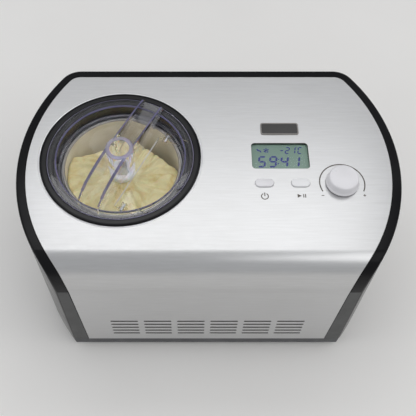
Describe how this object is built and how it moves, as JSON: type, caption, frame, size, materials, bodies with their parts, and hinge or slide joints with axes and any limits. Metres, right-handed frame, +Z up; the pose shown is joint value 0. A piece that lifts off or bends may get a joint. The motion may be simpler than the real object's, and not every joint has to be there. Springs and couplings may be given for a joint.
{
  "type": "ice cream maker",
  "caption": "Countertop compressor ice cream maker with a bent steel top panel, a lift-out bowl under a clear hatched lid, a display, keys and a knob.",
  "frame": {"origin": "on the ground at the middle of the body", "axes": "+X to the right along the length, +Y to the back, +Z up; the controls face up and the air slots face -Y"},
  "size_m": [0.4288, 0.273, 0.226],
  "materials": {
    "brushed_steel": "brushed along the length, satin",
    "black_gloss": "glossy black",
    "dark_grey": "satin dark grey",
    "aluminium": "satin",
    "copper": "drawn copper",
    "foam": "rigid foam",
    "white": "satin white",
    "clear": "clear moulded plastic",
    "silicone": "milky silicone",
    "zinc": "zinc plated",
    "nylon": "natural nylon",
    "enamel": "black enamel",
    "circuit_board": "solder resist",
    "silver": "satin light grey",
    "display": "clear window over a grey-green display",
    "rubber": "matt black"
  },
  "bodies": {
    "root": {"base_tray": "dark_grey", "blank_nameplate": "dark_grey", "bowl_collar": "dark_grey", "capillary_tube": "copper", "compressor": "enamel", "compressor_bracket": "zinc", "compressor_grommet_1": "rubber", "compressor_grommet_2": "rubber", "compressor_grommet_3": "rubber", "compressor_grommet_4": "rubber", "condenser": "aluminium", "control_board": "circuit_board", "cooling_well": "aluminium", "cord_gland": "rubber", "discharge_pipe": "copper", "display_cable": "rubber", "display_window": "display", "evaporator_coil": "copper", "fan_motor": "enamel", "fan_shroud": "dark_grey", "filter_drier": "copper", "foot_back_left": "rubber", "foot_back_right": "rubber", "foot_front_left": "rubber", "foot_front_right": "rubber", "gearbox_housing": "dark_grey", "gearbox_lid": "dark_grey", "insulation_jacket": "foam", "lcd_module": "silver", "liquid_pipe": "copper", "outer_housing": "black_gloss", "power_board": "circuit_board", "rear_cover": "dark_grey", "rear_screw_1": "zinc", "rear_screw_2": "zinc", "rear_screw_3": "zinc", "rear_screw_4": "zinc", "rotary_encoder": "zinc", "shaft_bush": "nylon", "start_relay": "enamel", "stirring_motor": "enamel", "suction_pipe": "copper", "top_front_panel": "brushed_steel"},
    "bowl": {"mixing_bowl": "aluminium"},
    "paddle": {"paddle": "white"},
    "lid": {"lid": "clear", "lid_seal": "silicone", "hatch_pin_far": "zinc", "hatch_pin_near": "zinc"},
    "hatch": {"fill_hatch": "clear"},
    "drive": {"output_gear": "nylon", "output_shaft": "zinc"},
    "idler": {"idler_gear": "nylon"},
    "motor_rotor": {"motor_pinion": "zinc"},
    "fan": {"fan_blade": "white"},
    "power_key": {"power_button": "silver"},
    "start_key": {"start_button": "silver"},
    "knob": {"control_knob": "silver"}
  },
  "joints": [
    {"name": "bowl_lift", "type": "slide", "parent": "root", "child": "bowl", "axis": [0, 0, 1], "range_m": [0, 0.145]},
    {"name": "paddle_spin", "type": "hinge", "parent": "bowl", "child": "paddle", "pos_m": [-0.0982, 0.0086, 0.13], "axis": [0, 0, 1], "continuous": true},
    {"name": "lid_lift", "type": "slide", "parent": "bowl", "child": "lid", "axis": [0, 0, 1], "range_m": [0, 0.08]},
    {"name": "hatch_swing", "type": "hinge", "parent": "lid", "child": "hatch", "pos_m": [-0.07046, -0.00523, 0.199], "axis": [-0.4462, -0.8949, 0], "range_deg": [0, 90]},
    {"name": "output_spin", "type": "hinge", "parent": "root", "child": "drive", "pos_m": [-0.0982, 0.0086, 0.046], "axis": [0, 0, 1], "continuous": true},
    {"name": "idler_spin", "type": "hinge", "parent": "root", "child": "idler", "pos_m": [-0.07154, 0.03097, 0.05], "axis": [0, 0, 1], "continuous": true},
    {"name": "motor_spin", "type": "hinge", "parent": "root", "child": "motor_rotor", "pos_m": [-0.05714, 0.00603, 0.05], "axis": [0, 0, 1], "continuous": true},
    {"name": "fan_spin", "type": "hinge", "parent": "root", "child": "fan", "pos_m": [0.082, -0.08, 0.076], "axis": [0, 1, 0], "continuous": true},
    {"name": "power_press", "type": "slide", "parent": "root", "child": "power_key", "axis": [0, 0, -1], "range_m": [0, 0.0012], "stiffness_N_per_m": 400},
    {"name": "start_press", "type": "slide", "parent": "root", "child": "start_key", "axis": [0, 0, -1], "range_m": [0, 0.0012], "stiffness_N_per_m": 400},
    {"name": "knob_turn", "type": "hinge", "parent": "root", "child": "knob", "pos_m": [0.1453, -0.027, 0.21], "axis": [0, 0, 1], "continuous": true}
  ],
  "couplings": [
    {"joint": "paddle_spin", "follows": "output_spin", "ratio": 1},
    {"joint": "idler_spin", "follows": "output_spin", "ratio": -3.6},
    {"joint": "motor_spin", "follows": "output_spin", "ratio": 13.5}
  ]
}
